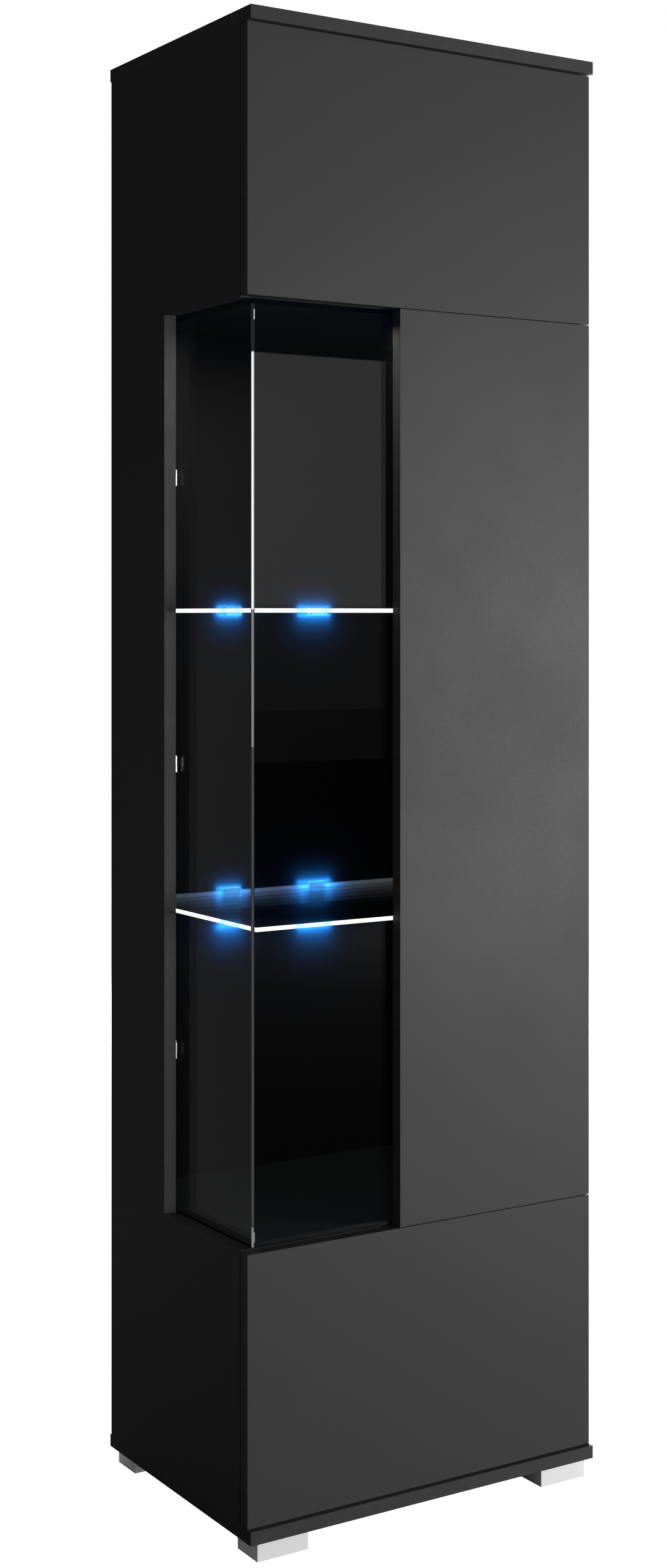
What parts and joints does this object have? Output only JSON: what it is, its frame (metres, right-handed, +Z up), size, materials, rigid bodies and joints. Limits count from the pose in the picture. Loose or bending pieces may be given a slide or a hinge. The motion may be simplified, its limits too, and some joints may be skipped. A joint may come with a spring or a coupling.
{
  "type": "display cabinet",
  "caption": "Tall narrow display cabinet with a glass corner and glass shelves between closed compartments, on block feet.",
  "frame": {"origin": "on the floor under the middle of the cabinet", "axes": "+X to the viewer's right, +Y to the rear, +Z up; the doors face -Y"},
  "size_m": [0.5, 0.362, 1.791],
  "materials": {
    "carcass_board": "matt anthracite laminate",
    "back_board": "dark laminated hardboard",
    "door_board": "matt anthracite laminate",
    "zinc": "zinc plated",
    "bright_metal": "polished nickel",
    "hinge_steel": "nickel plated",
    "foot_plastic": "light grey",
    "beech": "raw beech",
    "clear_glass": "toughened clear glass",
    "shelf_glass": "toughened clear glass with bright edges",
    "clear_rubber": "soft clear pad",
    "light_plastic": "silver grey",
    "led_blue": "blue diode lens",
    "dark_plastic": "black",
    "white_plastic": "white"
  },
  "bodies": {
    "carcass": {"top_board": "carcass_board", "base_board": "carcass_board", "left_side_upper": "carcass_board", "left_side_strip": "carcass_board", "left_side_lower": "carcass_board", "right_side": "carcass_board", "upper_divider": "carcass_board", "lower_divider": "carcass_board", "back_panel": "back_board", "back_panel_nails": "zinc", "front_left_foot": "foot_plastic", "front_right_foot": "foot_plastic", "rear_left_foot": "foot_plastic", "rear_right_foot": "foot_plastic", "foot_screws": "zinc", "cam_locks": "zinc", "cam_bolts": "zinc", "wooden_dowels": "beech", "side_pane": "clear_glass", "side_pane_clips": "bright_metal", "side_pane_clip_screws": "zinc", "side_pane_bumpers": "clear_rubber", "upper_shelf": "shelf_glass", "lower_shelf": "shelf_glass", "shelf_supports": "bright_metal", "led_clip_housings": "light_plastic", "led_clip_emitters": "led_blue", "hinge_arms": "hinge_steel", "hinge_plates": "hinge_steel", "hinge_plate_screws": "zinc", "push_latch_housings": "dark_plastic", "push_latch_screws": "zinc"},
    "upper_door": {"upper_door": "door_board", "upper_door_hinge_cups": "hinge_steel", "upper_door_cup_screws": "zinc", "upper_door_strike": "zinc"},
    "glass_door": {"glass_door_panel": "door_board", "front_pane": "clear_glass", "front_pane_screws": "zinc", "front_pane_caps": "bright_metal", "glass_door_hinge_cups": "hinge_steel", "glass_door_cup_screws": "zinc", "glass_door_strikes": "zinc"},
    "lower_door": {"lower_door": "door_board", "lower_door_hinge_cups": "hinge_steel", "lower_door_cup_screws": "zinc", "lower_door_strike": "zinc"},
    "upper_hinge_links": {"upper_door_hinge_links": "hinge_steel"},
    "glass_hinge_links": {"glass_door_hinge_links": "hinge_steel"},
    "lower_hinge_links": {"lower_door_hinge_links": "hinge_steel"},
    "upper_plunger": {"upper_door_plunger": "white_plastic"},
    "glass_plungers": {"glass_door_plungers": "white_plastic"},
    "lower_plunger": {"lower_door_plunger": "white_plastic"}
  },
  "joints": [
    {"name": "upper_door_hinge", "type": "hinge", "parent": "carcass", "child": "upper_door", "pos_m": [0.247, -0.171, 1.617], "axis": [0, 0, 1], "range_deg": [0, 95]},
    {"name": "glass_door_hinge", "type": "hinge", "parent": "carcass", "child": "glass_door", "pos_m": [0.247, -0.171, 0.906], "axis": [0, 0, 1], "range_deg": [0, 95]},
    {"name": "lower_door_hinge", "type": "hinge", "parent": "carcass", "child": "lower_door", "pos_m": [0.247, -0.171, 0.196], "axis": [0, 0, 1], "range_deg": [0, 95]},
    {"name": "upper_link_pivot", "type": "hinge", "parent": "upper_door", "child": "upper_hinge_links", "pos_m": [0.229, -0.161, 1.617], "axis": [0, 0, 1], "range_deg": [-85, 0]},
    {"name": "glass_link_pivot", "type": "hinge", "parent": "glass_door", "child": "glass_hinge_links", "pos_m": [0.229, -0.161, 0.906], "axis": [0, 0, 1], "range_deg": [-85, 0]},
    {"name": "lower_link_pivot", "type": "hinge", "parent": "lower_door", "child": "lower_hinge_links", "pos_m": [0.229, -0.161, 0.196], "axis": [0, 0, 1], "range_deg": [-85, 0]},
    {"name": "upper_latch_slide", "type": "slide", "parent": "carcass", "child": "upper_plunger", "axis": [0, -1, 0], "range_m": [0, 0.0141]},
    {"name": "glass_latch_slide", "type": "slide", "parent": "carcass", "child": "glass_plungers", "axis": [0, -1, 0], "range_m": [0, 0.0141]},
    {"name": "lower_latch_slide", "type": "slide", "parent": "carcass", "child": "lower_plunger", "axis": [0, -1, 0], "range_m": [0, 0.0141]}
  ],
  "couplings": [
    {"joint": "upper_link_pivot", "follows": "upper_door_hinge", "ratio": -0.89158},
    {"joint": "glass_link_pivot", "follows": "glass_door_hinge", "ratio": -0.89158},
    {"joint": "lower_link_pivot", "follows": "lower_door_hinge", "ratio": -0.89158},
    {"joint": "upper_latch_slide", "follows": "upper_door_hinge", "m_per_rad": 0.0084},
    {"joint": "glass_latch_slide", "follows": "glass_door_hinge", "m_per_rad": 0.0084},
    {"joint": "lower_latch_slide", "follows": "lower_door_hinge", "m_per_rad": 0.0084}
  ]
}
